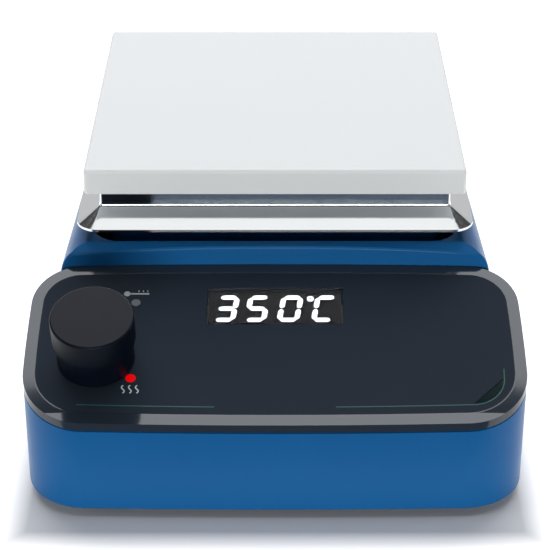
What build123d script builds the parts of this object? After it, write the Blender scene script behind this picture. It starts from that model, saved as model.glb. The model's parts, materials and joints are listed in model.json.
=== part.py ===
"""Digital laboratory hotplate: a square ceramic-topped heater on a cast housing with a sloping facia.

Frame: millimetres, +Z up, +X to the right as the user faces the facia, +Y towards the back.
The origin is on the surface that the feet stand on, under the middle of the overall box.
"""
from build123d import *
from math import cos, radians, sin, sqrt, tan
import os

# ---------------------------------------------------------------- driving dimensions
total_depth = 264.0
foot_height = 3.5            # clear height under the housing

# control pod: the low, wide front of the housing that carries the sloping facia
pod_half_width = 94.8
pod_depth = 75.8
front_bow = 1.6              # how far the front edge bulges forwards
rear_bow = 1.5               # how far the facia's rear edge bulges backwards
side_bow = 1.0
pod_front_radius = 24.0
pod_rear_radius = 19.0

# facia slope and levels, measured along the facia's normal from its top surface
facia_slope = 18.0
facia_front_height = foot_height + 39.2
seat_level = -3.2            # housing rim that the bezel stands on
bevel_drop = 0.2
bevel_width = 4.0
label_recess = 0.4
bezel_under = -2.4           # underside of the bezel's main wall
display_face = -2.0
board_top = -9.0             # component side of the control board
board_thickness = 1.6

# tower: the taller rear of the housing, under the hot plate
tower_front = 75.3           # behind the front corner line
tower_front_hollow = 0.9     # how far the middle of its front face sits back
tower_half_width = 85.0
tower_taper = 2.0            # degrees, each side, narrowing to the back
tower_height = foot_height + 71.5
tower_rear_corner = 17.0
shoulder_radius = 12.0       # side and rear top edges
brow_radius = 0.9            # front top edge
brow_droop = 4.1             # how far the front top edge falls from the middle to the sides
opening_half_width = 72.6
opening_front = 81.3
opening_rear = 231.0
opening_corner = 12.0
rim_bevel = 0.4
wall = 3.5
front_wall = 4.5
rear_wall = 6.0
roof = 4.0
room_shoulder = 8.0
room_corner = 6.0
passage_height = 52.0        # top of the opening between the pod's room and the tower's room

# hot plate stack
plate_size = 150.0
plate_top = 105.0
plate_thickness = 10.5
plate_middle = 158.0         # behind the front corner line
neck_half = 69.5
neck_corner = 1.0
skirt_half = 78.8
skirt_corner = 9.3
skirt_top = foot_height + 83.4
skirt_lip = foot_height + 77.3
skirt_bend = 1.2
sheet = 0.8

# knob and its encoder
knob_x = -67.5
knob_behind = 28.6
knob_head_radius = 15.7
knob_neck_radius = 14.6
knob_top = 23.9
knob_waist = 12.6
push_travel = 0.5
knob_gap = push_travel + 0.4     # clear height between the facia and the knob's skirt
shaft_radius = 3.0

# display and indicators, as distances behind the front corner line
window_width = 52.5
window_height = 18.8
window_behind = 54.55
indicator_x = -54.0
probe_behind = 56.1
hot_behind = 19.7

# base and feet
base_level = foot_height + 1.0
base_thickness = 1.5
base_play = 0.3              # all round, between the base plate and the housing's walls
foot_radius = 9.0

# rear connections
rear_centre_height = 27.0
inlet_x = -36.0
switch_x = 8.0
socket_x = 34.0
rod_x = 48.0
rod_behind = 245.5
rod_thread_minor_radius = 4.25   # M10 x 1.5

front_y = front_bow - total_depth / 2
rear_y = total_depth / 2
pod_rear_y = front_y + pod_depth
plate_y = front_y + plate_middle
plate_under = plate_top - plate_thickness
base_top = base_level + base_thickness
slope = radians(facia_slope)
facia = Plane(
    origin=(0, front_y, facia_front_height),
    x_dir=(1, 0, 0),
    z_dir=(0, -sin(slope), cos(slope)),
)
BIG = 400.0

parts = {}


# ---------------------------------------------------------------- helpers
def block(x0, x1, y0, y1, z0, z1):
    """A box between two corners."""
    return Pos((x0 + x1) / 2, (y0 + y1) / 2, (z0 + z1) / 2) * Box(x1 - x0, y1 - y0, z1 - z0)


def rod(x, y, z0, z1, radius):
    """An upright cylinder from z0 to z1."""
    return Pos(x, y, (z0 + z1) / 2) * Cylinder(radius, z1 - z0)


def rod_y(x, y0, y1, z, radius):
    """A cylinder lying along Y from y0 to y1."""
    return Pos(x, (y0 + y1) / 2, z) * Rot(90, 0, 0) * Cylinder(radius, y1 - y0)


def square(half, z0, z1, corner=0.0):
    """A square prism about the hot plate's axis, with rounded upright corners."""
    outline = RectangleRounded(2 * half, 2 * half, corner) if corner else Rectangle(2 * half, 2 * half)
    return Pos(0, plate_y, z0) * extrude(outline, z1 - z0)


def on_facia(x, behind, level, shape):
    """Put a shape on the facia: behind is the plan distance back, level is along the normal."""
    return facia * Pos(x, behind / cos(slope), level) * shape


def facia_rod(x, behind, low, high, radius):
    """A cylinder normal to the facia between two levels."""
    return on_facia(x, behind, (low + high) / 2, Cylinder(radius, high - low))


def facia_block(x, behind, width, height, low, high):
    """A box square to the facia between two levels."""
    return on_facia(x, behind, (low + high) / 2, Box(width, height, high - low))


def slab(low, high):
    """All the space between two levels of the facia."""
    return facia * Pos(0, 0, (low + high) / 2) * Box(BIG, BIG, high - low)


def group(shapes):
    """Separate solids that share one node."""
    return Compound(children=list(shapes))


def screw_down(x, y, seat, length, radius, head_radius, head_height):
    """A pan-head screw driven upwards: its head hangs below seat, its shank rises above it."""
    head = rod(x, y, seat - head_height, seat, head_radius)
    socket = rod(x, y, seat - head_height, seat - head_height * 0.45, head_radius * 0.42)
    return head + rod(x, y, seat, seat + length, radius) - socket


def wire_tube(points, radii, radius):
    """A round tube along straight runs joined by tangent arcs."""
    path = FilletPolyline(*points, radius=radii)
    section = Plane(origin=path @ 0, z_dir=path % 0) * Circle(radius)
    return sweep(section, path=path)


# ---------------------------------------------------------------- plan outlines
def pod_outline(inset=0.0):
    """Pillow-shaped plan of the control pod, drawn in by inset on every side."""
    half = pod_half_width - side_bow - inset
    front = front_y + inset
    rear = pod_rear_y - rear_bow - inset
    middle = (front + rear) / 2
    edges = [
        ThreePointArc((-half, front), (0, front - front_bow), (half, front)),
        ThreePointArc((half, front), (half + side_bow, middle), (half, rear)),
        ThreePointArc((half, rear), (0, rear + rear_bow), (-half, rear)),
        ThreePointArc((-half, rear), (-half - side_bow, middle), (-half, front)),
    ]
    face = make_face(edges)
    face = fillet(face.vertices().group_by(Axis.Y)[0], pod_front_radius - inset)
    return fillet(face.vertices().group_by(Axis.Y)[-1], pod_rear_radius - inset)


def tower_outline(front_inset=0.0, side_inset=0.0, rear_inset=0.0, rear_radius=tower_rear_corner):
    """Plan of the tower: it narrows to the back, and its front edge is hollowed like the facia's rear."""
    front = front_y + tower_front + front_inset
    rear = rear_y - rear_inset
    front_half = tower_half_width - side_inset
    rear_half = front_half - (rear - front) * tan(radians(tower_taper))
    edges = [
        ThreePointArc((-front_half, front), (0, front + tower_front_hollow), (front_half, front)),
        Line((front_half, front), (rear_half, rear)),
        Line((rear_half, rear), (-rear_half, rear)),
        Line((-rear_half, rear), (-front_half, front)),
    ]
    return fillet(make_face(edges).vertices().group_by(Axis.Y)[-1], rear_radius)


def neck_outline(inset=0.0, back=tower_front + 20):
    """Plan of the straight-sided stretch where the tower's walls run forward into the pod."""
    front = pod_depth - pod_rear_radius
    points = []
    for side, behind in ((-1, front), (1, front), (1, back), (-1, back)):
        half = tower_half_width - inset - (behind - tower_front) * tan(radians(tower_taper))
        points.append((side * half, front_y + behind))
    return make_face(Polyline(*points, close=True))


def prism(outline, z0, z1):
    """An upright prism on a plan outline."""
    return Pos(0, 0, z0) * extrude(outline, z1 - z0)


# ---------------------------------------------------------------- housing
PILLARS = [(x, plate_y + dy) for x in (-54.0, 54.0) for dy in (-54.0, 54.0)]
BASE_SCREWS = [(x, front_y + behind) for behind in (14.0, 66.0, 244.0) for x in (-70.0, 70.0)]
PANEL_SCREWS = [(x, z) for x in (-64.3, 64.3) for z in (14.0, 40.0)]
FEET = {
    "foot_front_left": (-74.0, front_y + 34.0),
    "foot_front_right": (74.0, front_y + 34.0),
    "foot_rear_left": (-62.0, front_y + 226.0),
    "foot_rear_right": (62.0, front_y + 226.0),
}
pocket_half = 60.5
pocket_low = 10.0
pocket_high = 44.0
panel_front = rear_y - rear_wall - 1.5


def make_tower():
    """The tower's outer form: soft shoulders at the sides and back, a crisp brow along the front."""
    tower = prism(tower_outline(), foot_height, tower_height)
    top_edges = tower.edges().group_by(Axis.Z)[-1].sort_by(Axis.Y)
    tower = fillet(top_edges[1:], shoulder_radius)

    # the top falls away in front of the opening, more at the sides than in the middle
    half = tower_half_width + 5
    low_ends = tower_height - brow_droop * (half / tower_half_width) ** 2
    back = front_y + opening_front - 2 * rim_bevel
    front = front_y + tower_front - 1
    flat_edge = Polyline((-half, tower_height), (-half, BIG), (half, BIG), (half, tower_height))
    flat_face = make_face(Curve() + [flat_edge, Line((-half, tower_height), (half, tower_height))])
    bowed_edge = Polyline((-half, low_ends), (-half, BIG), (half, BIG), (half, low_ends))
    bowed_arc = ThreePointArc((-half, low_ends), (0, tower_height), (half, low_ends))
    bowed_face = make_face(Curve() + [bowed_edge, bowed_arc])
    upright = Plane(origin=(0, 0, 0), x_dir=(1, 0, 0), z_dir=(0, -1, 0))
    tower -= loft([upright.offset(-back) * flat_face, upright.offset(-front) * bowed_face], ruled=True)
    front_face = tower.faces().sort_by(Axis.Y)[0]
    brow = front_face.edges().filter_by(lambda edge: edge.center().Z > foot_height + 60)
    return fillet(brow, brow_radius)


def make_tower_room():
    """The space inside the tower: square-cornered low down, rounded to suit the shoulders above."""
    low = prism(tower_outline(front_wall, wall, rear_wall, room_corner), 0, passage_height)
    high = prism(tower_outline(front_wall, wall, rear_wall, room_shoulder + 1), 0, tower_height - roof)
    top_edges = high.edges().group_by(Axis.Z)[-1].sort_by(Axis.Y)
    return low + fillet(top_edges[1:], room_shoulder)


def make_housing():
    pod = prism(pod_outline(), foot_height, 100) - slab(seat_level, 100)
    rim = prism(pod_outline(), foot_height, 100) - prism(pod_outline(0.7), foot_height, 100)
    pod -= rim & slab(seat_level - 0.6, 100)
    bridge_back = tower_front + tower_front_hollow + 0.5
    bridge = prism(neck_outline(0, bridge_back), foot_height, 100) - slab(seat_level, 100)
    shell = pod + make_tower() + bridge
    shell = fillet(shell.edges().group_by(Axis.Z)[0], 1.5)

    pod_room = prism(pod_outline(3.2), 0, 100) & block(-BIG, BIG, -BIG, front_y + 71.5, 0, 100)
    shell -= make_tower_room()
    shell -= pod_room
    shell -= prism(neck_outline(4.5), 0, passage_height)

    # opening in the roof, with a bevelled rim
    width = 2 * opening_half_width
    length = opening_rear - opening_front
    flare = 4 * rim_bevel
    mouth = RectangleRounded(width, length, opening_corner)
    flared = RectangleRounded(width + flare, length + flare, opening_corner)
    mouth_middle = front_y + (opening_front + opening_rear) / 2
    shell -= Pos(0, mouth_middle, tower_height - 20) * extrude(mouth, 40)
    levels = [Pos(0, mouth_middle, tower_height - rim_bevel) * mouth]
    levels.append(Pos(0, mouth_middle, tower_height + rim_bevel) * flared)
    shell -= loft(levels, ruled=True)

    # bosses for the base screws, joined to the nearest side wall
    for x, y in BASE_SCREWS:
        outer = 89.5 if y < front_y + 80 else 77.0
        side = 1 if x > 0 else -1
        boss = rod(x, y, base_top, 22, 4.5)
        boss += block(*sorted((x, side * outer)), y - 2, y + 2, base_top, 22)
        shell += boss
        shell -= rod(x, y, base_top - 1, 18, 1.5)

    # threaded rod boss under the roof, behind the plate
    rod_y_pos = front_y + rod_behind
    shell += rod(rod_x, rod_y_pos, 48, tower_height, 10)
    shell -= rod(rod_x, rod_y_pos, 40, 100, 7)

    # recessed opening for the rear panel, and its screw holes
    shell -= block(-pocket_half, pocket_half, rear_y - 20, rear_y + 5, pocket_low, pocket_high)
    for x, z in PANEL_SCREWS:
        shell -= rod_y(x, rear_y - 20, rear_y + 5, z, 1.6)
        shell -= rod_y(x, rear_y - 3, rear_y + 5, z, 3.1)
    return shell


def make_rod_socket():
    y = front_y + rod_behind
    body = rod(rod_x, y, 50, tower_height, 6.95) + rod(rod_x, y, tower_height, tower_height + 1.0, 8.5)
    body = chamfer(body.edges().group_by(Axis.Z)[-1], 0.4)
    return body - rod(rod_x, y, 52, 100, rod_thread_minor_radius)


def make_base_plate():
    pod = prism(pod_outline(3.2 + base_play), base_level, base_top)
    pod &= block(-BIG, BIG, -BIG, front_y + 71.2, 0, 100)
    insets = (front_wall + base_play, wall + base_play, rear_wall + base_play)
    tower = prism(tower_outline(*insets, room_corner - base_play), base_level, base_top)
    plate = pod + tower + prism(neck_outline(4.5 + base_play), base_level, base_top)
    slot = SlotOverall(34, 3.0)
    for row in range(9):
        for x in (-24.0, 24.0):
            y = plate_y - 32 + 8 * row
            plate -= Pos(x, y, base_level - 1) * extrude(slot, 4)
    for x, y in PILLARS:
        plate -= rod(x, y, base_level - 1, base_top + 1, 2.0)
    for x, y in BASE_SCREWS:
        plate -= rod(x, y, base_level - 1, base_top + 1, 1.7)
    for x, y in FEET.values():
        plate -= rod(x, y, base_level - 1, base_top + 1, 1.6)
    return plate


def make_foot(x, y):
    foot = rod(x, y, 0, base_level, foot_radius)
    foot = fillet(foot.edges().group_by(Axis.Z)[0], 0.8)
    return foot - rod(x, y, -1, 2.4, 3.4) - rod(x, y, -1, base_level + 1, 1.6)


def make_foot_screws():
    screws = []
    for x, y in FEET.values():
        screw = rod(x, y, 0.9, 2.4, 2.9) + rod(x, y, 2.4, base_top + 2.4, 1.5)
        nut = Pos(x, y, base_top) * extrude(RegularPolygon(3.2, 6), 2.2)
        screws.append(screw)
        screws.append(nut - rod(x, y, base_top - 1, base_top + 5, 1.5))
    return group(screws)


def make_base_screws():
    return group(screw_down(x, y, base_level, 10, 1.5, 2.9, 1.8) for x, y in BASE_SCREWS)


# ---------------------------------------------------------------- hot plate stack
element_radius = 3.2
element_level = plate_under - 0.4
clamp_top = element_level - element_radius - 0.1
clamp_under = clamp_top - 1.5
CLAMP_SCREWS = [(0, plate_y + dy) for dy in (-36.0, 36.0)]
CLAMP_SCREWS += [(x, plate_y) for x in (-54.0, -26.7, 26.7, 54.0)]
pan_floor = 67.5
pan_half = 68.4
terminal_drop = 30.0
ELEMENT_LEGS = (-40.0, -13.3, 13.3, 40.0)


def element_path():
    """A four-legged serpentine in one plane, with both ends turned down as terminals."""
    far = plate_y + 44
    near = plate_y - 44
    z = element_level
    low = z - terminal_drop
    x0, x1, x2, x3 = ELEMENT_LEGS
    points = [
        (x0, far, low), (x0, far, z), (x0, near, z), (x1, near, z), (x1, far, z),
        (x2, far, z), (x2, near, z), (x3, near, z), (x3, far, z), (x3, far, low),
    ]
    radii = [9.0] + [13.0] * 6 + [9.0]
    return FilletPolyline(*points, radius=radii)


def element_tube(radius):
    path = element_path()
    section = Plane(origin=path @ 0, z_dir=path % 0) * Circle(radius)
    return sweep(section, path=path)


def make_top_plate():
    plate = square(plate_size / 2, plate_under, plate_top, 1.6)
    plate = fillet(plate.edges().group_by(Axis.Z)[-1], 1.5)
    plate = fillet(plate.edges().group_by(Axis.Z)[0], 0.4)
    plate -= element_tube(element_radius + 0.05)
    for x, y in PILLARS:
        plate -= rod(x, y, plate_under - 1, plate_under + 6, 2.5)
    for x, y in CLAMP_SCREWS:
        plate -= rod(x, y, plate_under - 1, plate_under + 6, 1.6)
    return plate - rod(0, plate_y, plate_under - 1, plate_under + 6.5, 2.5)


def make_heating_element():
    terminals = []
    for x in (ELEMENT_LEGS[0], ELEMENT_LEGS[-1]):
        low = element_level - terminal_drop
        terminals.append(rod(x, plate_y + 44, low - 9, low, 1.6))
    return element_tube(element_radius) + terminals[0] + terminals[1]


def make_element_clamp_plate():
    plate = square(58, clamp_under, clamp_top, 4.0)
    for x in (ELEMENT_LEGS[0], ELEMENT_LEGS[-1]):
        plate -= block(x - 4.5, x + 4.5, plate_y + 30, plate_y + 70, 0, 200)
    for x, y in CLAMP_SCREWS:
        plate -= rod(x, y, 0, 200, 2.0)
    for x, y in PILLARS:
        plate -= rod(x, y, 0, 200, 4.6)
    return plate - rod(0, plate_y, 0, 200, 3.2)


def make_clamp_screws():
    length = plate_under + 5 - clamp_under
    return group(screw_down(x, y, clamp_under, length, 1.6, 3.4, 2.4) for x, y in CLAMP_SCREWS)


def make_temperature_sensor():
    sheath = rod(0, plate_y, 62, plate_under + 5.8, 2.45)
    collar = rod(0, plate_y, pan_floor - sheet - 1.6, pan_floor - sheet, 5.0)
    return sheath + collar


def make_insulation_pad():
    pad = square(pan_half - 1.2, pan_floor, clamp_under - 0.2, 4.0)
    for x, y in CLAMP_SCREWS:
        pad -= rod(x, y, clamp_under - 4, 200, 5.0)
    for x, y in PILLARS:
        pad -= rod(x, y, 0, 200, 4.4)
    for x in (ELEMENT_LEGS[0], ELEMENT_LEGS[-1]):
        pad -= block(x - 5, x + 5, plate_y + 30, plate_y + 50, 0, 200)
    return pad - rod(0, plate_y, 0, 200, 3.0)


def make_heat_shield_pan():
    pan = square(pan_half, pan_floor - sheet, plate_under - sheet - 0.1, 5.0)
    pan = fillet(pan.edges().group_by(Axis.Z)[0], 1.6)
    pan -= square(pan_half - sheet, pan_floor, 200, 4.2)
    for x, y in PILLARS:
        pan -= rod(x, y, 0, 200, 4.4)
    for x in (ELEMENT_LEGS[0], ELEMENT_LEGS[-1]):
        pan -= rod(x, plate_y + 44, 0, 200, 5.0)
    return pan - rod(0, plate_y, 0, 200, 2.6)


def make_spill_skirt():
    """A sheet-metal collar: an upright neck, bent out into a flange with cone-shaped corners."""
    drop = skirt_top - skirt_lip
    run = skirt_half - neck_half
    gauge = sheet * sqrt(drop ** 2 + run ** 2) / run
    stretch = 1.3                # the flange is formed longer than needed, then trimmed
    lower_half = neck_half + run * stretch
    lower_corner = neck_corner + (skirt_corner - neck_corner) * stretch
    lower_z = skirt_top - drop * stretch

    def hood(shift):
        bottom = RectangleRounded(2 * lower_half, 2 * lower_half, lower_corner)
        top = RectangleRounded(2 * neck_half, 2 * neck_half, neck_corner)
        levels = [Pos(0, plate_y, lower_z + shift) * bottom, Pos(0, plate_y, skirt_top + shift) * top]
        return loft(levels, ruled=True)

    outer = hood(0) + square(neck_half, skirt_top - gauge, plate_under, neck_corner)
    bends = outer.edges().filter_by(lambda edge: abs(edge.center().Z - skirt_top) < 0.05)
    outer = fillet(bends, skirt_bend)
    skirt = outer - hood(-gauge) - square(neck_half - sheet, 0, plate_under - sheet, neck_corner - 0.6)
    skirt &= square(skirt_half, 0, 200, skirt_corner)
    return skirt - square(59.5, 0, 200, 6.0)


def make_plate_pillars():
    pillars = []
    for x, y in PILLARS:
        pillar = rod(x, y, base_top, plate_under, 4.0) + rod(x, y, plate_under, plate_under + 5.5, 2.45)
        pillars.append(pillar - rod(x, y, base_top - 1, base_top + 12, 1.95))
    return group(pillars)


def make_pillar_screws():
    return group(screw_down(x, y, base_level, base_thickness + 8, 1.95, 3.9, 2.6) for x, y in PILLARS)


def make_thermal_cutout():
    x = 22.0
    seat = pan_floor - sheet
    body = rod(x, plate_y, seat - 8, seat - 1.2, 8.0)
    body += block(x - 14, x + 14, plate_y - 4, plate_y + 4, seat - 1.2, seat)
    for tab_x in (x - 5, x + 5):
        body += block(tab_x - 3.1, tab_x + 3.1, plate_y - 0.4, plate_y + 0.4, seat - 17, seat - 8)
    return body


# ---------------------------------------------------------------- facia
BEZEL_POSTS = [(x, behind) for x in (-84.5, 84.5) for behind in (24.0, 52.0)]
DISPLAY_PIN_X = (-20.0, -12.0, -4.0, 4.0, 12.0, 20.0)
DISPLAY_PINS = [(x, window_behind + dy) for x in DISPLAY_PIN_X for dy in (-6.5, 6.5)]


def make_facia_bezel():
    prism_full = prism(pod_outline(), foot_height, 100)
    lower = prism_full & slab(seat_level, -bevel_drop)
    outer_face = lower.faces().filter_by(lambda face: face.normal_at().Z > 0.9).sort_by(Axis.Z)[-1]
    upper = prism(pod_outline(bevel_width), foot_height, 100) & slab(-2, 0)
    inner_face = upper.faces().filter_by(lambda face: face.normal_at().Z > 0.9).sort_by(Axis.Z)[-1]
    bezel = lower + loft([outer_face, inner_face], ruled=True)
    bezel -= prism(pod_outline(3.0), 0, 100) & slab(seat_level - 1, bezel_under)
    bezel -= prism(pod_outline(bevel_width + 0.5), 0, 100) & slab(-label_recess, 5)
    bezel -= facia_block(0, window_behind, window_width + 0.3, window_height + 0.3, -10, 5)
    bezel -= facia_rod(indicator_x, probe_behind, -10, 5, 1.85)
    bezel -= facia_rod(indicator_x, hot_behind, -10, 5, 1.95)
    bezel -= facia_rod(knob_x, knob_behind, -10, 5, 3.7)
    for x, behind in BEZEL_POSTS:
        bezel += facia_rod(x, behind, board_top + 0.1, bezel_under + 0.2, 3.4)
        bezel -= facia_rod(x, behind, board_top - 1, bezel_under - 0.4, 1.2)
    return bezel


def make_facia_label():
    label = prism(pod_outline(bevel_width + 0.6), 0, 100) & slab(-label_recess, -0.06)
    label -= facia_block(0, window_behind, window_width + 0.3, window_height + 0.3, -10, 5)
    label -= facia_rod(indicator_x, probe_behind, -10, 5, 1.85)
    label -= facia_rod(indicator_x, hot_behind, -10, 5, 1.95)
    return label - facia_rod(knob_x, knob_behind, -10, 5, 3.7)


def make_facia_screws():
    screws = []
    seat = board_top - board_thickness
    for x, behind in BEZEL_POSTS:
        head = facia_rod(x, behind, seat - 1.6, seat, 2.4)
        screws.append(head + facia_rod(x, behind, seat, bezel_under - 0.8, 1.15))
    return group(screws)


def make_display_window():
    return facia_block(0, window_behind, window_width, window_height, -1.7, -0.03)


def make_display_module():
    body = facia_block(0, window_behind, window_width - 0.8, window_height - 0.8, board_top, display_face)
    for x, behind in DISPLAY_PINS:
        body += facia_rod(x, behind, board_top - board_thickness - 1.2, board_top, 0.3)
    return body


digit_height = 13.6
digit_width = 8.6
segment_width = 1.9
digit_lean = tan(radians(9.0))
segment_gap = 0.28
SEGMENTS = {
    "a": ((0, 2), (1, 2)),
    "b": ((1, 1), (1, 2)),
    "c": ((1, 0), (1, 1)),
    "d": ((0, 0), (1, 0)),
    "e": ((0, 0), (0, 1)),
    "f": ((0, 1), (0, 2)),
    "g": ((0, 1), (1, 1)),
}
segment_relief = 0.15
READOUT = [(-18.9, "abcdg"), (-6.9, "acdfg"), (5.9, "abcdef"), (19.2, "adef")]
degree_x = 13.8
degree_drop = 1.6            # from the top of the figures to the ring's middle
degree_outer_radius = 1.3
degree_inner_radius = 0.55


def segment_outline(start, end):
    """One bar of a numeral: a strip with pointed ends, between two corners of the figure."""
    half_run = (digit_width - segment_width) / 2
    half_rise = (digit_height - segment_width) / 4
    x0 = (2 * start[0] - 1) * half_run
    x1 = (2 * end[0] - 1) * half_run
    y0 = (start[1] - 1) * 2 * half_rise
    y1 = (end[1] - 1) * 2 * half_rise
    half = segment_width / 2
    if y0 == y1:
        x0 += segment_gap
        x1 -= segment_gap
        points = [(x0, y0), (x0 + half, y0 + half), (x1 - half, y0 + half),
                  (x1, y0), (x1 - half, y0 - half), (x0 + half, y0 - half)]
    else:
        y0 += segment_gap
        y1 -= segment_gap
        points = [(x0, y0), (x0 - half, y0 + half), (x0 - half, y1 - half),
                  (x0, y1), (x0 + half, y1 - half), (x0 + half, y0 + half)]
    return [(x + digit_lean * y, y) for x, y in points]


def make_display_segments():
    """The lit bars of a three-figure readout with a degree ring and a C."""
    bars = []
    for centre_x, names in READOUT:
        for name in names:
            outline = [(x + centre_x, y) for x, y in segment_outline(*SEGMENTS[name])]
            face = make_face(Polyline(*outline, close=True))
            bars.append(on_facia(0, window_behind, display_face, extrude(face, segment_relief)))
    ring = Circle(degree_outer_radius) - Circle(degree_inner_radius)
    ring = Pos(degree_x, digit_height / 2 - degree_drop) * ring
    bars.append(on_facia(0, window_behind, display_face, extrude(ring, segment_relief)))
    return group(bars)


def make_light_pipe(behind, radius):
    pipe = facia_rod(indicator_x, behind, -5.6, 0.05, radius)
    return pipe + facia_rod(indicator_x, behind, -5.6, bezel_under - 0.1, radius + 0.8)


def make_indicator_leds():
    lamps = []
    for behind in (probe_behind, hot_behind):
        lamps.append(facia_rod(indicator_x, behind, board_top, -5.8, 1.5))
    return group(lamps)


def make_control_board():
    board = facia_block(0, 36.5, 176, 55, board_top - board_thickness, board_top)
    board = board & prism(pod_outline(5.0), 0, 100)
    for x, behind in BEZEL_POSTS:
        board -= facia_rod(x, behind, -20, 0, 1.3)
    for x, behind in DISPLAY_PINS:
        board -= facia_rod(x, behind, -20, 0, 0.35)
    return board


# ---------------------------------------------------------------- encoder and knob
encoder_top = bezel_under - 0.1
cavity_low = board_top + 0.8
cavity_high = encoder_top - 0.6
collar_top = cavity_high - 0.3
collar_low = collar_top - 1.3
plunger_low = collar_low - 1.6


def make_encoder_body():
    body = facia_block(knob_x, knob_behind, 12.4, 13.2, board_top, encoder_top)
    body += facia_rod(knob_x, knob_behind, encoder_top - 0.2, 4.2, 3.5)
    body -= facia_rod(knob_x, knob_behind, cavity_low, cavity_high, 4.2)
    return body - facia_rod(knob_x, knob_behind, cavity_low, 10, shaft_radius + 0.05)


def make_encoder_nut():
    nut = on_facia(knob_x, knob_behind, -label_recess + 0.36, extrude(RegularPolygon(6.3, 6), 2.0))
    return nut - facia_rod(knob_x, knob_behind, -5, 10, 3.5)


def make_encoder_plunger():
    return facia_rod(knob_x, knob_behind, plunger_low, collar_low - 0.1, 2.6)


def make_encoder_shaft():
    shaft = facia_rod(knob_x, knob_behind, collar_low, 17.5, shaft_radius)
    flat = facia_block(knob_x, knob_behind + 6.5 * cos(slope), 20, 10, 7, 30)
    return (shaft - flat) + facia_rod(knob_x, knob_behind, collar_low, collar_top, 3.8)


def make_knob():
    head = facia_rod(knob_x, knob_behind, knob_waist, knob_top, knob_head_radius)
    head_axis = facia.z_dir
    rims = head.edges().sort_by(Axis((0, 0, 0), head_axis))
    head = fillet(rims[-1], 0.9)
    rims = head.edges().filter_by(GeomType.CIRCLE).sort_by(Axis((0, 0, 0), head_axis))
    head = fillet(rims[0], 0.6)
    neck = facia_rod(knob_x, knob_behind, knob_gap, knob_waist + 0.5, knob_neck_radius)
    hollow = facia_rod(knob_x, knob_behind, 0, knob_waist + 1, knob_neck_radius - 1.7)
    hub = facia_rod(knob_x, knob_behind, 5.4, knob_waist + 2, 5.0)
    knob = (head + neck) - hollow + hub
    bore = facia_rod(knob_x, knob_behind, 0, 17.6, shaft_radius)
    flat = facia_block(knob_x, knob_behind + 6.5 * cos(slope), 20, 10, 7, 30)
    return knob - (bore - flat)


# ---------------------------------------------------------------- power electronics
board_low = 14.0
board_high = board_low + board_thickness
board_half_x = 46.0
board_front = plate_y - 44.0
board_back = plate_y + 40.0
STANDOFFS = [(x, y) for x in (-42.0, 42.0) for y in (board_front + 4, board_back - 4)]
block_y = plate_y + 32.0
block_top = board_high + 13.0


def make_power_board():
    board = block(-board_half_x, board_half_x, board_front, board_back, board_low, board_high)
    board = chamfer(board.edges().filter_by(Axis.Z), 1.5)
    for x, y in STANDOFFS:
        board -= rod(x, y, 0, 40, 1.5)
    return board


def make_board_standoffs():
    posts = []
    for x, y in STANDOFFS:
        post = Pos(x, y, base_top) * extrude(RegularPolygon(3.0, 6), board_low - base_top)
        posts.append(post - rod(x, y, base_top + 2, 40, 1.45))
    return group(posts)


def make_board_screws():
    screws = []
    for x, y in STANDOFFS:
        screws.append(rod(x, y, base_top + 3, board_high, 1.4) + rod(x, y, board_high, board_high + 1.8, 2.6))
    return group(screws)


def make_transformer():
    y = plate_y - 22.0
    core = block(-42, -6, y - 15, y + 15, board_high + 1, board_high + 29)
    core -= block(-37, -29, y - 20, y + 20, board_high + 6, board_high + 24)
    core -= block(-19, -11, y - 20, y + 20, board_high + 6, board_high + 24)
    coil = block(-37, -11, y - 22, y + 22, board_high + 6.2, board_high + 23.8)
    coil = fillet(coil.edges().filter_by(Axis.Z), 5)
    foot = block(-40, -8, y - 12, y + 12, board_high, board_high + 1)
    return core + coil + foot


def make_relay():
    y = plate_y - 30.0
    relay = block(10, 39, y - 6.3, y + 6.3, board_high, board_high + 15.7)
    return fillet(relay.edges().group_by(Axis.Z)[-1], 0.8)


def make_triac_heatsink():
    y = plate_y + 2.0
    sink = block(8, 40, y - 2, y + 2, board_high, board_high + 30)
    for step in range(6):
        x = 9.0 + 5.8 * step
        sink += block(x, x + 1.6, y - 12, y - 2, board_high, board_high + 30)
    return sink


def make_triac():
    y = plate_y + 4.0
    tab = block(18, 28, y, y + 1.3, board_high + 8, board_high + 24)
    body = block(18, 28, y, y + 4.4, board_high + 8, board_high + 17)
    for x in (20.5, 23.0, 25.5):
        body += block(x - 0.4, x + 0.4, y + 2.2, y + 2.8, board_high, board_high + 8)
    return tab + body


def make_capacitors():
    cans = [(-34.0, 10.0, 6.3, 20.0), (-20.0, 10.0, 5.0, 12.5), (-8.0, 8.0, 4.0, 11.0)]
    shapes = []
    for x, dy, radius, height in cans:
        can = rod(x, plate_y + dy, board_high, board_high + height, radius)
        shapes.append(fillet(can.edges().group_by(Axis.Z)[-1], 0.6))
    film = block(14, 32, plate_y + 17, plate_y + 24, board_high, board_high + 12)
    shapes.append(film)
    return group(shapes)


def make_terminal_block():
    body = block(-20, 20, block_y - 5, block_y + 5, board_high, block_top)
    for step in range(4):
        x = -15.0 + 10.0 * step
        body -= rod(x, block_y, block_top - 6, block_top + 1, 1.9)
        body -= block(x - 2, x + 2, block_y + 2, block_y + 8, board_high + 2, board_high + 6)
    return body


# ---------------------------------------------------------------- rear panel and its fittings
panel_back = rear_y - rear_wall
inlet_half_x = 23.5
inlet_half_z = 15.0
inlet_body_half_x = 21.0
inlet_body_half_z = 13.5
flange_back = panel_back + 2.4
well_x = inlet_x - 6.5
well_depth = 18.0
drawer_x = inlet_x + 14.5
drawer_half_x = 4.0
drawer_half_z = 11.6
drawer_depth = 20.0
INLET_PINS = [(-7.0, -2.4), (0.0, 2.0), (7.0, -2.4)]
switch_half_x = 6.3
switch_half_z = 9.5
rocker_y = panel_back - 0.5
rocker_tilt = 9.0
rocker_half_x = 5.1


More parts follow.
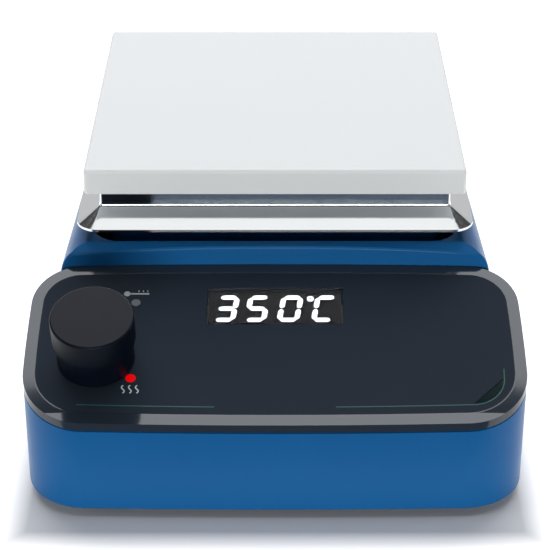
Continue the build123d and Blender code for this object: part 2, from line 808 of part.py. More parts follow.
def make_rear_panel():
    panel = block(-68, 68, panel_front, panel_back, 7, 47)
    z = rear_centre_height
    panel -= block(inlet_x - inlet_body_half_x - 0.2, inlet_x + inlet_body_half_x + 0.2, 0, BIG,
                   z - inlet_body_half_z - 0.2, z + inlet_body_half_z + 0.2)
    panel -= block(switch_x - switch_half_x - 0.1, switch_x + switch_half_x + 0.1, 0, BIG,
                   z - switch_half_z - 0.1, z + switch_half_z + 0.1)
    panel -= rod_y(socket_x, 0, BIG, z, 4.05)
    for x, hole_z in PANEL_SCREWS:
        panel -= rod_y(x, 0, BIG, hole_z, 1.5)
    return panel


def make_rear_panel_screws():
    screws = []
    for x, z in PANEL_SCREWS:
        screw = rod_y(x, panel_front - 3, rear_y - 3, z, 1.5) + rod_y(x, rear_y - 3, rear_y - 1.2, z, 2.8)
        screws.append(screw - rod_y(x, rear_y - 2.1, rear_y, z, 1.2))
    return group(screws)


def make_inlet_body():
    z = rear_centre_height
    flange = block(inlet_x - inlet_half_x, inlet_x + inlet_half_x, panel_back, flange_back,
                   z - inlet_half_z, z + inlet_half_z)
    flange = fillet(flange.edges().filter_by(Axis.Y), 3.0)
    flange = chamfer(flange.edges().group_by(Axis.Y)[-1], 0.5)
    body = block(inlet_x - inlet_body_half_x, inlet_x + inlet_body_half_x, panel_back - 22, panel_back,
                 z - inlet_body_half_z, z + inlet_body_half_z)
    inlet = flange + body
    well = block(well_x - 12.2, well_x + 12.2, flange_back - well_depth, flange_back + 1, z - 8.2, z + 8.2)
    corners = well.edges().filter_by(Axis.Y).group_by(Axis.Z)
    well = chamfer(corners[-1], 4.0)
    inlet -= well
    inlet -= block(drawer_x - drawer_half_x - 0.3, drawer_x + drawer_half_x + 0.3,
                   flange_back - drawer_depth - 1.4, flange_back + 1,
                   z - drawer_half_z - 0.3, z + drawer_half_z + 0.3)
    for x, dz in INLET_PINS:
        inlet -= block(well_x + x - 1, well_x + x + 1, 0, BIG, z + dz - 2, z + dz + 2)
    return inlet


def make_inlet_pins():
    pins = []
    for x, dz in INLET_PINS:
        z = rear_centre_height + dz
        pin = block(well_x + x - 1, well_x + x + 1, panel_back - 23, flange_back - 3, z - 2, z + 2)
        tab = block(well_x + x - 0.4, well_x + x + 0.4, panel_back - 31, panel_back - 23, z - 3.1, z + 3.1)
        pins.append(pin + tab)
    return group(pins)


def make_fuse_drawer():
    z = rear_centre_height
    back = flange_back - drawer_depth
    drawer = block(drawer_x - drawer_half_x, drawer_x + drawer_half_x, back, flange_back + 0.5,
                   z - drawer_half_z, z + drawer_half_z)
    front = block(drawer_x - 5, drawer_x + 5, flange_back + 0.4, flange_back + 1.7, z - 12.6, z + 12.6)
    front = fillet(front.edges().filter_by(Axis.Y), 1.2)
    drawer += front
    drawer += block(drawer_x - 3, drawer_x + 3, flange_back + 1.7, flange_back + 2.6, z - 1, z + 1)
    drawer -= block(drawer_x - 10, drawer_x + 2.8, back + 5, back + 10.8, z - 10.3, z + 10.3)
    return drawer


def make_fuse():
    y = flange_back - drawer_depth + 7.9
    z = rear_centre_height
    glass = rod(drawer_x, y, z - 10, z + 10, 2.3)
    for side in (-1, 1):
        glass += rod(drawer_x, y, *sorted((z + side * 4.4, z + side * 10)), 2.6)
    return glass


def make_switch_frame():
    z = rear_centre_height
    flange = block(switch_x - 7.5, switch_x + 7.5, panel_back, panel_back + 1.8, z - 10.6, z + 10.6)
    flange = fillet(flange.edges().filter_by(Axis.Y), 1.0)
    flange = chamfer(flange.edges().group_by(Axis.Y)[-1], 0.5)
    body = block(switch_x - switch_half_x, switch_x + switch_half_x, panel_back - 18, panel_back,
                 z - switch_half_z, z + switch_half_z)
    frame = flange + body
    frame -= block(switch_x - rocker_half_x - 0.3, switch_x + rocker_half_x + 0.3,
                   rocker_y - 7, panel_back + 5, z - 8.8, z + 8.8)
    axle = Pos(switch_x, rocker_y, z) * Rot(0, 90, 0) * Cylinder(1.25, 2 * switch_half_x - 0.5)
    frame -= axle
    for tab_z in (z - 5.0, z + 5.0):
        frame += block(switch_x - 2.4, switch_x + 2.4, panel_back - 26, panel_back - 18,
                       tab_z - 0.4, tab_z + 0.4)
    return frame


def make_switch_rocker():
    """A rocker with a shallow V across its face, leaning the way it sits when switched on."""
    half = 7.8
    crest = 3.0 + half * tan(radians(rocker_tilt))
    outline = Polyline((-4, -half), (crest, -half), (3.0, 0), (crest, half), (-4, half), close=True)
    body = extrude(Plane.XY * make_face(outline), rocker_half_x, both=True)
    body = body + Cylinder(1.2, 2 * rocker_half_x + 1.2)
    place = Pos(switch_x, rocker_y, rear_centre_height) * Rot(rocker_tilt, 0, 0)
    return place * Plane((0, 0, 0), x_dir=(0, 1, 0), z_dir=(1, 0, 0)).location * body


socket_mouth = panel_back + 4.0


def make_probe_socket():
    z = rear_centre_height
    socket = rod_y(socket_x, panel_front - 12, panel_front, z, 6.0)
    socket += rod_y(socket_x, panel_front, socket_mouth, z, 4.0)
    socket = chamfer(socket.edges().group_by(Axis.Y)[-1], 0.4)
    return socket - rod_y(socket_x, socket_mouth - 15, BIG, z, 1.8)


def make_probe_socket_nut():
    seat = Plane(origin=(socket_x, panel_back, rear_centre_height), z_dir=(0, 1, 0))
    nut = seat * extrude(RegularPolygon(6.4, 6), 2.2)
    return nut - rod_y(socket_x, 0, BIG, rear_centre_height, 4.0)


# ---------------------------------------------------------------- wiring
def make_heater_leads():
    leads = []
    for side in (-1, 1):
        x = side * ELEMENT_LEGS[-1]
        start = element_level - terminal_drop - 9
        end_x = side * 5.0 if side > 0 else -5.0
        points = [
            (x, plate_y + 44, start), (x, plate_y + 44, start - 10),
            (end_x, block_y, start - 14), (end_x, block_y, block_top - 5),
        ]
        leads.append(wire_tube(points, [6.0, 6.0], 1.2))
    return group(leads)


def make_mains_wires():
    z = rear_centre_height
    pin_z = z + INLET_PINS[0][1]
    tab_y = panel_back - 31
    switch_y = panel_back - 26
    clamp_z = board_high + 4
    bend_y = block_y + 16
    neutral = [
        (well_x + 7, tab_y, pin_z), (well_x + 7, tab_y - 9, pin_z),
        (-15, bend_y, clamp_z), (-15, block_y + 2.2, clamp_z),
    ]
    live = [
        (well_x - 7, tab_y, pin_z), (well_x - 7, tab_y - 8, pin_z), (-22, tab_y - 9, z + 11),
        (switch_x, switch_y - 10, z + 5), (switch_x, switch_y, z + 5),
    ]
    switched = [
        (switch_x, switch_y, z - 5), (switch_x, switch_y - 10, z - 5),
        (15, bend_y, clamp_z), (15, block_y + 2.2, clamp_z),
    ]
    return group([
        wire_tube(neutral, [5.0, 5.0], 1.1),
        wire_tube(live, [5.0, 12.0, 5.0], 1.1),
        wire_tube(switched, [5.0, 5.0], 1.1),
    ])


def make_sensor_lead():
    points = [
        (0, plate_y, 62), (0, plate_y, 52), (-20, plate_y + 20, 46),
        (-30, plate_y + 24, 30), (-30, plate_y + 24, board_high),
    ]
    return wire_tube(points, [6.0, 8.0, 5.0], 1.5)


def make_ribbon_cable():
    board_under = board_top - board_thickness
    start = facia.from_local_coords(Vector(20, 44 / cos(slope), board_under))
    leave = facia.from_local_coords(Vector(20, 44 / cos(slope), board_under - 12))
    points = [
        (start.X, start.Y, start.Z), (leave.X, leave.Y, leave.Z),
        (start.X, board_front - 18, 24), (start.X, board_front + 4, 26),
        (start.X, board_front + 4, board_high),
    ]
    path = FilletPolyline(*points, radius=[5.0, 5.0, 5.0])
    section = Plane(origin=path @ 0, x_dir=(1, 0, 0), z_dir=path % 0) * Rectangle(20, 0.9)
    return sweep(section, path=path)


# ---------------------------------------------------------------- all the parts
def make_all():
    parts["housing"] = make_housing()
    parts["rod_socket"] = make_rod_socket()
    parts["base_plate"] = make_base_plate()
    parts["base_screws"] = make_base_screws()
    for name, (x, y) in FEET.items():
        parts[name] = make_foot(x, y)
    parts["foot_screws"] = make_foot_screws()

    parts["top_plate"] = make_top_plate()
    parts["heating_element"] = make_heating_element()
    parts["element_clamp_plate"] = make_element_clamp_plate()
    parts["clamp_screws"] = make_clamp_screws()
    parts["temperature_sensor"] = make_temperature_sensor()
    parts["insulation_pad"] = make_insulation_pad()
    parts["heat_shield_pan"] = make_heat_shield_pan()
    parts["spill_skirt"] = make_spill_skirt()
    parts["plate_pillars"] = make_plate_pillars()
    parts["pillar_screws"] = make_pillar_screws()
    parts["thermal_cutout"] = make_thermal_cutout()

    parts["facia_bezel"] = make_facia_bezel()
    parts["facia_label"] = make_facia_label()
    parts["facia_screws"] = make_facia_screws()
    parts["display_window"] = make_display_window()
    parts["display_module"] = make_display_module()
    parts["display_segments"] = make_display_segments()
    parts["probe_light_pipe"] = make_light_pipe(probe_behind, 1.8)
    parts["hot_light_pipe"] = make_light_pipe(hot_behind, 1.9)
    parts["indicator_leds"] = make_indicator_leds()
    parts["control_board"] = make_control_board()

    parts["encoder_body"] = make_encoder_body()
    parts["encoder_nut"] = make_encoder_nut()
    parts["encoder_plunger"] = make_encoder_plunger()
    parts["encoder_shaft"] = make_encoder_shaft()
    parts["knob"] = make_knob()

    parts["power_board"] = make_power_board()
    parts["board_standoffs"] = make_board_standoffs()
    parts["board_screws"] = make_board_screws()
    parts["transformer"] = make_transformer()
    parts["relay"] = make_relay()
    parts["triac"] = make_triac()
    parts["triac_heatsink"] = make_triac_heatsink()
    parts["capacitors"] = make_capacitors()
    parts["terminal_block"] = make_terminal_block()

    parts["rear_panel"] = make_rear_panel()
    parts["rear_panel_screws"] = make_rear_panel_screws()
    parts["inlet_body"] = make_inlet_body()
    parts["inlet_pins"] = make_inlet_pins()
    parts["fuse_drawer"] = make_fuse_drawer()
    parts["fuse"] = make_fuse()
    parts["switch_frame"] = make_switch_frame()
    parts["switch_rocker"] = make_switch_rocker()
    parts["probe_socket"] = make_probe_socket()
    parts["probe_socket_nut"] = make_probe_socket_nut()

    parts["heater_leads"] = make_heater_leads()
    parts["mains_wires"] = make_mains_wires()
    parts["sensor_lead"] = make_sensor_lead()
    parts["ribbon_cable"] = make_ribbon_cable()


make_all()
os.makedirs("parts", exist_ok=True)
for name, shape in parts.items():
    export_step(shape, f"parts/{name}.step")
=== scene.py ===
"""Looks for the laboratory hotplate: materials, facia print, studio and camera."""
import json
import math

import bmesh
import bpy
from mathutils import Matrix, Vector


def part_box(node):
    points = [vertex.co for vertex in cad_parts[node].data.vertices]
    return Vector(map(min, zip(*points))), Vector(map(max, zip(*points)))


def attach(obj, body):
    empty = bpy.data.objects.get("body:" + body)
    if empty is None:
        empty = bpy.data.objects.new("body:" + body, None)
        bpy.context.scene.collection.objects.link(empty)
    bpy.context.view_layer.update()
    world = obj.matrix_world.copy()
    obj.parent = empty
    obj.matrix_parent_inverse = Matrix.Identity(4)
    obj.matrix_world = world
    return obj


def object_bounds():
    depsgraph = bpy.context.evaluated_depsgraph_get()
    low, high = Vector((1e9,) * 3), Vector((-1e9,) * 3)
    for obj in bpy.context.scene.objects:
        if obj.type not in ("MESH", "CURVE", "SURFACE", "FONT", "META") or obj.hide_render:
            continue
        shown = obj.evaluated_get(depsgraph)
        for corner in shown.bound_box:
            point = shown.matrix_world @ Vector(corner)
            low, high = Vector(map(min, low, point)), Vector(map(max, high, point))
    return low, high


MM = 0.001

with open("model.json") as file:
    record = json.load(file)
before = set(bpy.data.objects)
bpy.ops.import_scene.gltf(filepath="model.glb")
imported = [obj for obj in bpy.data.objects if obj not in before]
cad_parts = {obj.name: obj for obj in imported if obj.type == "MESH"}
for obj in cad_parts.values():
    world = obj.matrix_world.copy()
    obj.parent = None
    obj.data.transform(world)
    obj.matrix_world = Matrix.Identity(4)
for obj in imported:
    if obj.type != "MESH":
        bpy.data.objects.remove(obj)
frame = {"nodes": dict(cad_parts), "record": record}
cad_low, cad_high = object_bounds()
nodes = frame["nodes"]

# ---------------------------------------------------------------- places, from the frame
SLOPE = math.radians(18.0)
FRONT_BOW = 1.6 * MM
front_y = cad_low.y + FRONT_BOW
FACIA_FRONT_HEIGHT = 42.7 * MM
FACIA_NORMAL = Vector((0.0, -math.sin(SLOPE), math.cos(SLOPE)))
FACIA_UP = Vector((0.0, math.cos(SLOPE), math.sin(SLOPE)))
FACIA_ORIGIN = Vector((0.0, front_y, FACIA_FRONT_HEIGHT))
LABEL_TOP = -0.06 * MM
INK = 0.035 * MM


def facia_point(x, behind, level):
    """A point on the sloping facia: x across, behind its plan distance back, level along its normal."""
    across = Vector((x, 0, 0))
    return FACIA_ORIGIN + across + FACIA_UP * (behind / math.cos(SLOPE)) + FACIA_NORMAL * level


# ---------------------------------------------------------------- material tools
class Shader:
    """A Principled material, with short calls for the procedural nodes that feed it."""

    def __init__(self, name, color, roughness, **constants):
        self.material = bpy.data.materials.new(name)
        self.material.use_nodes = True
        self.tree = self.material.node_tree
        self.bsdf = self.tree.nodes["Principled BSDF"]
        self.set(self.bsdf, "Base Color", (*color, 1.0))
        self.set(self.bsdf, "Roughness", roughness)
        for key, value in constants.items():
            self.set(self.bsdf, key.replace("_", " "), value)
        self.place = None

    def set(self, node, socket, value):
        node.inputs[socket].default_value = value

    def link(self, out, into):
        self.tree.links.new(out, into)

    def where(self, stretch=(1.0, 1.0, 1.0)):
        """Object coordinates in metres, optionally stretched."""
        coordinates = self.tree.nodes.new("ShaderNodeTexCoord")
        mapping = self.tree.nodes.new("ShaderNodeMapping")
        self.set(mapping, "Scale", stretch)
        self.link(coordinates.outputs["Object"], mapping.inputs["Vector"])
        return mapping.outputs["Vector"]

    def along(self, axis):
        """One object coordinate, in metres."""
        split = self.tree.nodes.new("ShaderNodeSeparateXYZ")
        self.link(self.where(), split.inputs[0])
        return split.outputs[axis]

    def combine(self, operation, first, second=None):
        """A maths node; second is a number or a socket."""
        node = self.tree.nodes.new("ShaderNodeMath")
        node.operation = operation
        self.link(first, node.inputs[0])
        if isinstance(second, float):
            self.set(node, 1, second)
        elif second is not None:
            self.link(second, node.inputs[1])
        return node.outputs[0]

    def noise(self, scale, detail=3.0, vector=None):
        node = self.tree.nodes.new("ShaderNodeTexNoise")
        self.set(node, "Scale", scale)
        self.set(node, "Detail", detail)
        self.link(vector or self.where(), node.inputs["Vector"])
        return node.outputs["Fac"]

    def cells(self, scale):
        node = self.tree.nodes.new("ShaderNodeTexVoronoi")
        self.set(node, "Scale", scale)
        self.link(self.where(), node.inputs["Vector"])
        return node.outputs["Distance"]

    def wave(self, scale, distortion=0.0):
        node = self.tree.nodes.new("ShaderNodeTexWave")
        self.set(node, "Scale", scale)
        self.set(node, "Distortion", distortion)
        self.link(self.where(), node.inputs["Vector"])
        return node.outputs["Fac"]

    def spread(self, value, low, high, start=0.0, end=1.0):
        """Remap a 0 to 1 value onto low to high."""
        node = self.tree.nodes.new("ShaderNodeMapRange")
        self.set(node, "From Min", start)
        self.set(node, "From Max", end)
        self.set(node, "To Min", low)
        self.set(node, "To Max", high)
        self.link(value, node.inputs["Value"])
        return node.outputs["Result"]

    def tint(self, value, color_a, color_b):
        """Base colour that drifts between two close colours."""
        node = self.tree.nodes.new("ShaderNodeMix")
        node.data_type = "RGBA"
        node.inputs[6].default_value = (*color_a, 1.0)
        node.inputs[7].default_value = (*color_b, 1.0)
        self.link(value, node.inputs[0])
        self.link(node.outputs[2], self.bsdf.inputs["Base Color"])

    def rough(self, value):
        self.link(value, self.bsdf.inputs["Roughness"])

    def bump(self, height, distance, strength=1.0):
        """Chain one more bump below the ones already there."""
        node = self.tree.nodes.new("ShaderNodeBump")
        self.set(node, "Strength", strength)
        self.set(node, "Distance", distance)
        self.link(height, node.inputs["Height"])
        if self.bsdf.inputs["Normal"].is_linked:
            before = self.bsdf.inputs["Normal"].links[0].from_socket
            self.link(before, node.inputs["Normal"])
        self.link(node.outputs["Normal"], self.bsdf.inputs["Normal"])


def scaled(color, factor):
    return tuple(channel * factor for channel in color)


# ---------------------------------------------------------------- materials
def blue_enamel():
    base = (0.008, 0.114, 0.320)
    s = Shader("blue_enamel", base, 0.32, IOR=1.20)
    s.tint(s.noise(35.0), scaled(base, 0.96), scaled(base, 1.05))
    s.rough(s.spread(s.noise(90.0, 4.0), 0.27, 0.37))
    s.bump(s.noise(1700.0, 2.0), 0.02 * MM, 0.25)
    return s.material


def white_ceramic():
    base = (0.86, 0.88, 0.875)
    s = Shader("white_ceramic", base, 0.42, IOR=1.45)
    s.tint(s.noise(28.0), scaled(base, 0.985), base)
    s.rough(s.spread(s.noise(240.0, 4.0), 0.34, 0.48))
    s.bump(s.noise(2600.0, 3.0), 0.02 * MM, 0.3)
    return s.material


def polished_steel():
    base = (0.74, 0.76, 0.77)
    s = Shader("polished_steel", base, 0.20, Metallic=1.0)
    fine = s.noise(900.0, 3.0, vector=s.where((0.04, 1.0, 1.0)))
    s.tint(s.noise(55.0), scaled(base, 0.95), base)
    s.rough(s.spread(fine, 0.06, 0.14))
    s.bump(s.noise(22.0, 1.0), 0.25 * MM, 0.10)
    s.bump(fine, 0.004 * MM, 0.2)
    return s.material


def turned_steel(name="turned_steel", base=(0.56, 0.56, 0.57)):
    s = Shader(name, base, 0.3, Metallic=1.0)
    rings = s.noise(700.0, 3.0, vector=s.where((1.0, 1.0, 6.0)))
    s.tint(s.noise(120.0), scaled(base, 0.85), base)
    s.rough(s.spread(rings, 0.22, 0.42))
    s.bump(rings, 0.01 * MM, 0.3)
    return s.material


def zinc_plate():
    base = (0.56, 0.58, 0.60)
    s = Shader("zinc_plate", base, 0.42, Metallic=0.9)
    s.tint(s.cells(140.0), scaled(base, 0.82), scaled(base, 1.08))
    s.rough(s.spread(s.noise(160.0), 0.34, 0.52))
    s.bump(s.noise(900.0), 0.01 * MM, 0.3)
    return s.material


def rubber():
    base = (0.018, 0.018, 0.019)
    s = Shader("foot_rubber", base, 0.75, IOR=1.45)
    s.tint(s.noise(300.0), base, scaled(base, 1.7))
    s.rough(s.spread(s.noise(500.0), 0.65, 0.85))
    s.bump(s.noise(1500.0), 0.03 * MM, 0.5)
    return s.material


def heat_tinted():
    base = (0.30, 0.25, 0.20)
    s = Shader("element_steel", base, 0.4, Metallic=1.0)
    s.tint(s.noise(60.0), (0.34, 0.27, 0.18), (0.14, 0.13, 0.20))
    s.rough(s.spread(s.noise(400.0), 0.35, 0.55))
    s.bump(s.noise(1200.0), 0.01 * MM, 0.4)
    return s.material


def aluminium():
    base = (0.74, 0.745, 0.75)
    s = Shader("clamp_aluminium", base, 0.35, Metallic=1.0)
    grain = s.noise(900.0, 3.0, vector=s.where((1.0, 0.05, 1.0)))
    s.tint(s.noise(90.0), scaled(base, 0.9), base)
    s.rough(s.spread(grain, 0.28, 0.45))
    s.bump(grain, 0.01 * MM, 0.3)
    return s.material


def fibre():
    base = (0.85, 0.83, 0.78)
    s = Shader("ceramic_fibre", base, 0.95)
    s.tint(s.noise(260.0, 5.0), scaled(base, 0.85), base)
    s.rough(s.spread(s.noise(500.0), 0.88, 1.0))
    s.bump(s.noise(1400.0, 5.0), 0.15 * MM, 0.6)
    return s.material


def moulded(name, base, low=0.4, high=0.55, grain=1600.0, depth=0.02, **constants):
    """Moulded plastic: a fine spark-eroded texture and a slight drift of colour and gloss."""
    s = Shader(name, base, (low + high) / 2, **constants)
    s.tint(s.noise(70.0), scaled(base, 0.9), scaled(base, 1.12))
    s.rough(s.spread(s.noise(300.0, 4.0), low, high))
    s.bump(s.noise(grain, 3.0), depth * MM, 0.35)
    return s.material


def bezel_gloss():
    base = (0.0200, 0.0285, 0.0410)
    s = Shader("black_gloss", base, 0.10, IOR=1.50)
    s.tint(s.noise(50.0), base, scaled(base, 1.1))
    s.rough(s.spread(s.noise(200.0), 0.07, 0.13))
    # the front border is crowned, so it lies flatter than the facia
    s.bump(s.spread(s.along("Y"), 1.0, 0.0, front_y - 1.7 * MM, front_y + 3.9 * MM), 0.8 * MM)
    s.bump(s.noise(900.0, 2.0), 0.004 * MM, 0.15)
    return s.material


def slate_film():
    base = (0.0200, 0.0280, 0.0415)
    s = Shader("slate_film", base, 0.5, IOR=1.45)
    s.set(s.bsdf, "Specular IOR Level", 0.04)
    s.tint(s.noise(18.0), scaled(base, 0.96), scaled(base, 1.05))
    s.rough(s.spread(s.noise(600.0, 3.0), 0.44, 0.54))
    s.bump(s.cells(3200.0), 0.006 * MM, 0.2)
    return s.material


def window_glass():
    s = Shader("smoked_window", (0.80, 0.82, 0.85), 0.03, IOR=1.12, Transmission_Weight=1.0)
    s.rough(s.spread(s.noise(300.0), 0.01, 0.05))
    return s.material


def display_face():
    base = (0.0006, 0.0006, 0.0008)
    s = Shader("display_black", base, 0.8, IOR=1.05)
    s.tint(s.noise(400.0), base, scaled(base, 1.4))
    return s.material


def lit(name, color, strength, base):
    s = Shader(name, base, 0.3, IOR=1.15, Emission_Strength=strength)
    s.set(s.bsdf, "Emission Color", (*color, 1.0))
    s.tint(s.noise(500.0), base, scaled(base, 0.92))
    return s.material


def glass_tube():
    s = Shader("fuse_glass", (0.9, 0.94, 0.93), 0.04, IOR=1.5, Transmission_Weight=0.85)
    s.rough(s.spread(s.noise(400.0), 0.02, 0.08))
    return s.material


def brass():
    base = (0.72, 0.55, 0.27)
    s = Shader("brass_parts", base, 0.3, Metallic=1.0)
    s.tint(s.noise(200.0), scaled(base, 0.8), base)
    s.rough(s.spread(s.noise(700.0), 0.2, 0.4))
    s.bump(s.noise(1800.0), 0.006 * MM, 0.3)
    return s.material


def woven_sleeve():
    base = (0.78, 0.76, 0.68)
    s = Shader("heat_sleeve", base, 0.85)
    s.tint(s.wave(420.0), scaled(base, 0.75), base)
    s.bump(s.wave(420.0, 1.0), 0.1 * MM, 0.6)
    return s.material


def circuit_board():
    base = (0.012, 0.10, 0.045)
    s = Shader("board_green", base, 0.35)
    s.tint(s.wave(160.0, 6.0), scaled(base, 0.8), scaled(base, 1.4))
    s.rough(s.spread(s.noise(500.0), 0.28, 0.45))
    s.bump(s.wave(160.0, 6.0), 0.03 * MM, 0.3)
    return s.material


MATERIALS = {
    "blue_enamel": blue_enamel(),
    "white_ceramic": white_ceramic(),
    "polished_steel": polished_steel(),
    "turned_steel": turned_steel(),
    "screw_steel": turned_steel("screw_steel", (0.47, 0.47, 0.48)),
    "zinc_plate": zinc_plate(),
    "foot_rubber": rubber(),
    "element_steel": heat_tinted(),
    "clamp_aluminium": aluminium(),
    "ceramic_fibre": fibre(),
    "brown_resin": moulded("brown_resin", (0.10, 0.05, 0.03)),
    "black_gloss": bezel_gloss(),
    "slate_film": slate_film(),
    "smoked_window": window_glass(),
    "black_matte": moulded("black_matte", (0.010, 0.010, 0.011)),
    "lit_white": lit("lit_white", (0.93, 0.97, 1.0), 2.2, (0.9, 0.92, 0.95)),
    "clear_lens": moulded("clear_lens", (0.12, 0.145, 0.165), 0.3, 0.4, IOR=1.25),
    "red_lens": lit("red_lens", (1.0, 0.001, 0.002), 0.68, (0.12, 0.001, 0.002)),
    "board_green": circuit_board(),
    "knob_black": moulded("knob_black", (0.0015, 0.004, 0.010), 0.38, 0.48, 2200.0, 0.012, IOR=1.24),
    "brass_parts": brass(),
    "transformer_iron": moulded("transformer_iron", (0.06, 0.055, 0.05), 0.4, 0.6, 700.0, 0.05),
    "relay_case": moulded("relay_case", (0.03, 0.10, 0.26)),
    "capacitor_sleeve": moulded("capacitor_sleeve", (0.012, 0.02, 0.035), 0.2, 0.3),
    "terminal_green": moulded("terminal_green", (0.03, 0.22, 0.08)),
    "drawer_grey": moulded("drawer_grey", (0.025, 0.025, 0.028)),
    "fuse_glass": glass_tube(),
    "rocker_black": moulded("rocker_black", (0.012, 0.012, 0.013), 0.18, 0.28, 1200.0, 0.004),
    "heat_sleeve": woven_sleeve(),
    "wire_sleeve": moulded("wire_sleeve", (0.10, 0.05, 0.02), 0.35, 0.45),
    "ribbon_grey": moulded("ribbon_grey", (0.40, 0.41, 0.43)),
}

slot_of = {entry["node"]: entry["material_slot"] for entry in frame["record"]["subparts"]}
for name, piece in nodes.items():
    for holder in piece.material_slots:
        holder.material = MATERIALS[slot_of[name]]
for holder in nodes["display_module"].material_slots:
    holder.material = display_face()


# ---------------------------------------------------------------- facia print
def flat_print(name, outlines, material):
    """Printed ink: thin closed plates on the label, from outlines given across and back in metres."""
    mesh = bpy.data.meshes.new(name)
    build = bmesh.new()
    for outline in outlines:
        rings = []
        for level in (LABEL_TOP, LABEL_TOP + INK):
            rings.append([build.verts.new(facia_point(x, behind, level)) for x, behind in outline])
        build.faces.new(list(reversed(rings[0])))
        build.faces.new(rings[1])
        count = len(outline)
        for i in range(count):
            j = (i + 1) % count
            build.faces.new((rings[0][i], rings[0][j], rings[1][j], rings[1][i]))
    bmesh.ops.triangulate(build, faces=[f for f in build.faces if len(f.verts) > 4])
    bmesh.ops.recalc_face_normals(build, faces=build.faces)
    build.to_mesh(mesh)
    build.free()
    piece = bpy.data.objects.new(name, mesh)
    bpy.context.scene.collection.objects.link(piece)
    mesh.materials.append(material)
    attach(piece, "case")


def stroke(points, width):
    """Outline of a line of even width along points, with square ends."""
    left = []
    right = []
    for i, point in enumerate(points):
        before = points[max(i - 1, 0)]
        after = points[min(i + 1, len(points) - 1)]
        along = Vector((after[0] - before[0], after[1] - before[1])).normalized()
        across = Vector((-along.y, along.x)) * (width / 2)
        left.append((point[0] + across.x, point[1] + across.y))
        right.append((point[0] - across.x, point[1] - across.y))
    return left + right[::-1]


def disc(x, behind, radius, count=28):
    turn = 2 * math.pi / count
    angles = [turn * i for i in range(count)]
    return [(x + radius * math.cos(a), behind + radius * math.sin(a)) for a in angles]


def ink(name, color):
    s = Shader(name, color, 0.45, IOR=1.3)
    s.tint(s.noise(900.0), scaled(color, 0.9), color)
    s.rough(s.spread(s.noise(700.0), 0.4, 0.5))
    return s.material


def hairline():
    """The green line that follows the label's front edge and turns up at its right end."""
    behind = 7.6 * MM
    corner = 12.5 * MM
    right = 85.8 * MM
    inner = 22.5 * MM
    width = 0.42 * MM
    bow = 1.2 * MM
    half = right - corner

    def edge(x):
        return behind - bow * (1 - (x / half) ** 2)

    steps = [(half - inner) * i / 20 for i in range(21)]
    left_part = [(-half + step, edge(-half + step)) for step in steps]
    right_part = [(inner + step, edge(inner + step)) for step in steps]
    for i in range(1, 15):
        angle = -math.pi / 2 + math.pi / 2 * i / 14
        along = corner * math.cos(angle)
        back = corner + corner * math.sin(angle)
        right_part.append((half + along, behind + back))
    right_part.append((right + 0.2 * MM, behind + corner + 4 * MM))
    return [stroke(left_part, width), stroke(right_part, width)]


def probe_mark(x, behind):
    """A small thermometer lying on its side: a bulb and a stem."""
    stem = [(x - 3.2 * MM, behind), (x + 4.6 * MM, behind)]
    marks = [disc(x - 4.0 * MM, behind, 1.25 * MM), stroke(stem, 0.7 * MM)]
    for offset in (0.5, 2.2, 3.9):
        tick = x + offset * MM
        marks.append(stroke([(tick, behind + 0.9 * MM), (tick, behind + 1.7 * MM)], 0.4 * MM))
    return marks


def heat_mark(x, behind):
    """Three rising waves."""
    marks = []
    for offset in (-2.6, 0.0, 2.6):
        points = []
        for i in range(13):
            t = i / 12
            sway = offset + 0.55 * math.sin(2 * math.pi * t)
            points.append((x + sway * MM, behind + (t - 0.5) * 3.6 * MM))
        marks.append(stroke(points, 0.5 * MM))
    return marks


pipe_low, pipe_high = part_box("hot_light_pipe")
indicator_x = (pipe_low.x + pipe_high.x) / 2
probe_outlines = probe_mark(indicator_x + 0.4 * MM, 60.6 * MM)
heat_outlines = heat_mark(indicator_x, 14.6 * MM)
flat_print("facia_hairline", hairline(), ink("ink_green", (0.030, 0.115, 0.095)))
flat_print("probe_mark", probe_outlines, ink("ink_grey", (0.42, 0.46, 0.49)))
flat_print("heat_mark", heat_outlines, ink("ink_white", (0.62, 0.66, 0.68)))


# ---------------------------------------------------------------- studio
def area_light(name, place, target, size, power, color=(1.0, 1.0, 1.0)):
    data = bpy.data.lights.new(name, "AREA")
    data.shape = "RECTANGLE"
    data.size, data.size_y = size
    data.energy = power
    data.color = color
    lamp = bpy.data.objects.new(name, data)
    lamp.location = place
    lamp.rotation_euler = (Vector(target) - Vector(place)).to_track_quat("-Z", "Y").to_euler()
    bpy.context.scene.collection.objects.link(lamp)


def painted_glow_card(name, color):
    """Matt card with a painted glow: it emits more and more light away from the object, which leaves
    painted shade next to it for a contact shadow.
    """
    s = Shader(name, color, 0.9)
    s.set(s.bsdf, "Emission Color", (*color, 1.0))
    beside = s.combine("SUBTRACT", s.combine("ABSOLUTE", s.along("X")), cad_high.x - 10 * MM)
    ahead = s.combine("SUBTRACT", s.combine("ABSOLUTE", s.along("Y")), cad_high.y)
    away = s.combine("MAXIMUM", beside, ahead)
    # painted light: the emission goes from nothing at 8 mm to 0.75 at 19 mm out from the object's box,
    # so painted shade stays close around it
    painted_glow = s.spread(away, 0.0, 0.75, 8 * MM, 19 * MM)
    s.link(painted_glow, s.bsdf.inputs["Emission Strength"])
    return s.material


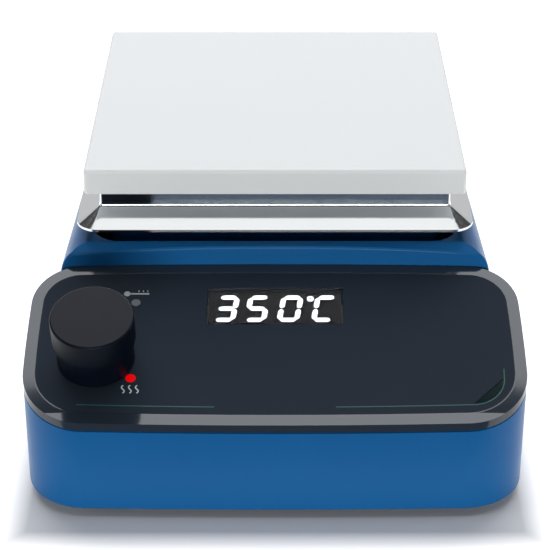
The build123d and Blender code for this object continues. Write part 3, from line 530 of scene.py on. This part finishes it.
def sheet(name, across, back, color):
    """A flat card on the bench, from its limits across and back."""
    corners = [(across[0], back[0]), (across[1], back[0]), (across[1], back[1]), (across[0], back[1])]
    mesh = bpy.data.meshes.new(name)
    mesh.from_pydata([(x, y, 0.0) for x, y in corners], [], [(0, 1, 2, 3)])
    plane = bpy.data.objects.new(name, mesh)
    bpy.context.scene.collection.objects.link(plane)
    mesh.materials.append(painted_glow_card(name, color))


def floor():
    """A pale floor with a painted glow away from the object, and a dark card ahead of it for the
    upright faces to reflect.
    """
    reach = 9.0
    edge = front_y - 0.04
    sheet("studio_floor", (-reach, reach), (edge, reach), (0.93, 0.93, 0.93))
    sheet("studio_front_card", (-0.8, 0.8), (edge - 0.9, edge), (0.02, 0.04, 0.07))


def studio():
    """A soft overhead light, a low front light, small side lights and a pale backdrop."""
    floor()
    area_light("top", (0.0, 1.0, 1.5), (0.0, 0.1, 0.0), (2.4, 1.1), 29.0, (0.97, 0.99, 1.03))
    area_light("top_front", (0.0, -0.25, 1.5), (0.0, -0.2, 0.0), (1.8, 0.6), 3.8)
    area_light("front_low", (0.0, -2.2, 0.24), (0.0, 0.0, 0.05), (1.6, 0.36), 27.0)
    area_light("backdrop", (0.0, 3.2, 1.2), (0.0, 0.0, 0.9), (7.0, 2.6), 34.0)
    area_light("left", (-1.7, -0.5, 0.75), (0.0, 0.0, 0.05), (0.5, 0.5), 2.0)
    area_light("right", (1.9, 0.3, 0.9), (0.0, 0.0, 0.05), (0.8, 0.8), 2.0)
    world = bpy.data.worlds.new("studio_world")
    world.use_nodes = True
    background = world.node_tree.nodes["Background"]
    background.inputs["Color"].default_value = (1.0, 1.0, 1.0, 1.0)
    background.inputs["Strength"].default_value = 0.07
    bpy.context.scene.world = world


def camera():
    """Looks down along +Y at the facia, from far off through a long lens."""
    ahead = 563.7 * MM
    height = 411.1 * MM
    pitch_down = 28.6
    data = bpy.data.cameras.new("camera")
    data.sensor_width = 36.0
    data.lens = 120.0
    data.clip_start = 0.01
    data.clip_end = 50.0
    view = bpy.data.objects.new("camera", data)
    view.location = (0.0, front_y - ahead, height)
    view.rotation_euler = (math.radians(90.0 - pitch_down), 0.0, 0.0)
    bpy.context.scene.collection.objects.link(view)
    bpy.context.scene.camera = view


studio()
camera()
bpy.context.scene.view_settings.view_transform = "Standard"
